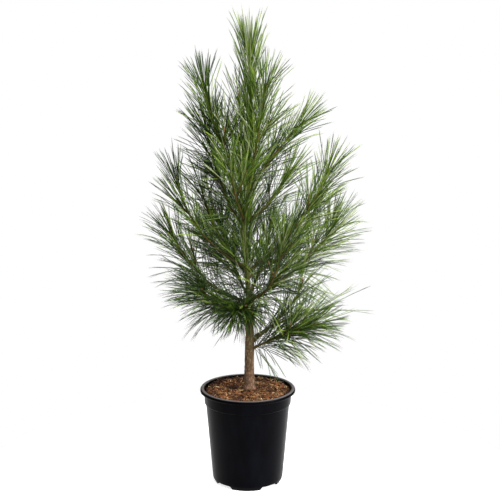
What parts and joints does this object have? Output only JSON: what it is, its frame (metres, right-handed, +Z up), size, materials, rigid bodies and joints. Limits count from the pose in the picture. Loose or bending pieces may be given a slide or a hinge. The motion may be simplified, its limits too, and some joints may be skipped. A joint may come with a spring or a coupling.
{
  "type": "potted himalayan pine",
  "caption": "Young long-needled pine with upswept boughs in whorls round a slender leader, standing in a round nursery pot of bark compost.",
  "frame": {"origin": "on the ground under the middle of the pot, at the centre of the flat foot in the middle of its underside", "axes": "+Z up along the trunk, +X to the right and -Y towards the front as the plant is seen in its picture"},
  "size_m": [0.5135, 0.3979, 1.0356],
  "materials": {
    "pot": "satin black moulded polypropylene",
    "soil": "damp composted bark with fibres and chips",
    "bark": "rough grey-brown bark",
    "young_bark": "smooth tan and green young bark",
    "needles": "satin green needles"
  },
  "bodies": {
    "root": {"pot": "pot", "soil": "soil", "trunk": "bark", "bough_first_back_right": "young_bark", "needles_first_back_right": "needles", "bough_first_front_right": "young_bark", "needles_first_front_right": "needles", "bough_first_right": "young_bark", "needles_first_right": "needles", "bough_second_back_left": "young_bark", "needles_second_back_left": "needles", "bough_second_back_right": "young_bark", "needles_second_back_right": "needles", "bough_second_front_left": "young_bark", "needles_second_front_left": "needles", "bough_second_front_right": "young_bark", "needles_second_front_right": "needles", "bough_second_left": "young_bark", "needles_second_left": "needles", "bough_second_low_left": "young_bark", "needles_second_low_left": "needles", "bough_second_right": "young_bark", "needles_second_right": "needles", "bough_third_back": "young_bark", "needles_third_back": "needles", "bough_third_back_left": "young_bark", "needles_third_back_left": "needles", "bough_third_back_right": "young_bark", "needles_third_back_right": "needles", "bough_third_left": "young_bark", "needles_third_left": "needles", "bough_third_right": "young_bark", "needles_third_right": "needles", "bough_fourth_back": "young_bark", "needles_fourth_back": "needles", "bough_fourth_front": "young_bark", "needles_fourth_front": "needles", "bough_fourth_left": "young_bark", "needles_fourth_left": "needles", "bough_fourth_right": "young_bark", "needles_fourth_right": "needles", "bough_fifth_back": "young_bark", "needles_fifth_back": "needles", "bough_fifth_front_right": "young_bark", "needles_fifth_front_right": "needles", "bough_fifth_left": "young_bark", "needles_fifth_left": "needles", "bough_fifth_right": "young_bark", "needles_fifth_right": "needles", "needles_leader": "needles"}
  },
  "joints": []
}
